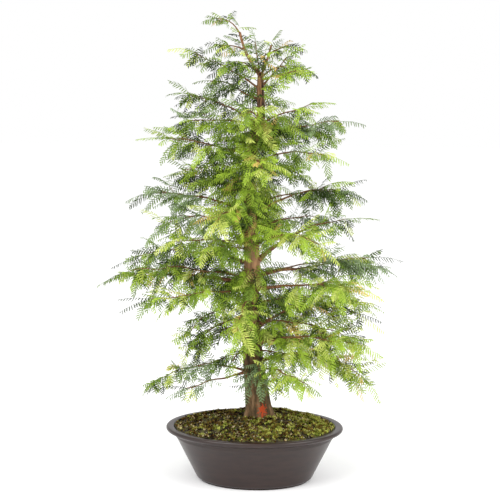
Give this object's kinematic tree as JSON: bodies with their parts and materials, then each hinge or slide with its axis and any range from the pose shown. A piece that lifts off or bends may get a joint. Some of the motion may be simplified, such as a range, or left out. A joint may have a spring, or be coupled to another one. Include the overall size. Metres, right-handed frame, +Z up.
{
  "type": "potted dawn redwood bonsai tree",
  "caption": "Conical dawn redwood bonsai with layered drooping sprays of flat needles, a red-brown flared trunk forked at the top, and an oval lipped pot of mossy soil.",
  "frame": {"origin": "centre of the pot's flat underside, on the surface that the pot stands on", "axes": "+Z up along the tree, +X along the pot's long axis, -Y towards the tree's front"},
  "size_m": [0.5237, 0.4029, 0.8037],
  "materials": {
    "bark": "fibrous reddish-brown bark, matte",
    "foliage": "fresh soft needles, yellow-green to blue-green, slightly satin",
    "pot": "matte dark umber-grey",
    "moss": "moss tufts and dark grit, matte"
  },
  "bodies": {
    "root": {"bough_left_10": "bark", "bough_left_11": "bark", "bough_left_12": "bark", "bough_left_4": "bark", "bough_left_5": "bark", "bough_left_7": "bark", "bough_left_8": "bark", "bough_right_10": "bark", "bough_right_11": "bark", "bough_right_12": "bark", "bough_right_13": "bark", "bough_right_4": "bark", "bough_right_6": "bark", "bough_right_8": "bark", "bough_right_9": "bark", "foliage_back_1": "foliage", "foliage_back_2": "foliage", "foliage_back_3": "foliage", "foliage_back_4": "foliage", "foliage_back_5": "foliage", "foliage_back_6": "foliage", "foliage_front_1": "foliage", "foliage_front_2": "foliage", "foliage_front_3": "foliage", "foliage_front_4": "foliage", "foliage_front_5": "foliage", "foliage_left_1": "foliage", "foliage_left_10": "foliage", "foliage_left_11": "foliage", "foliage_left_12": "foliage", "foliage_left_2": "foliage", "foliage_left_3": "foliage", "foliage_left_4": "foliage", "foliage_left_5": "foliage", "foliage_left_6": "foliage", "foliage_left_7": "foliage", "foliage_left_8": "foliage", "foliage_left_9": "foliage", "foliage_right_1": "foliage", "foliage_right_10": "foliage", "foliage_right_11": "foliage", "foliage_right_12": "foliage", "foliage_right_13": "foliage", "foliage_right_14": "foliage", "foliage_right_2": "foliage", "foliage_right_3": "foliage", "foliage_right_4": "foliage", "foliage_right_5": "foliage", "foliage_right_6": "foliage", "foliage_right_7": "foliage", "foliage_right_8": "foliage", "foliage_right_9": "foliage", "foliage_top_1": "foliage", "foliage_top_2": "foliage", "foliage_top_3": "foliage", "leader_left": "bark", "leader_right": "bark", "pot": "pot", "soil": "moss", "trunk": "bark"}
  },
  "joints": []
}
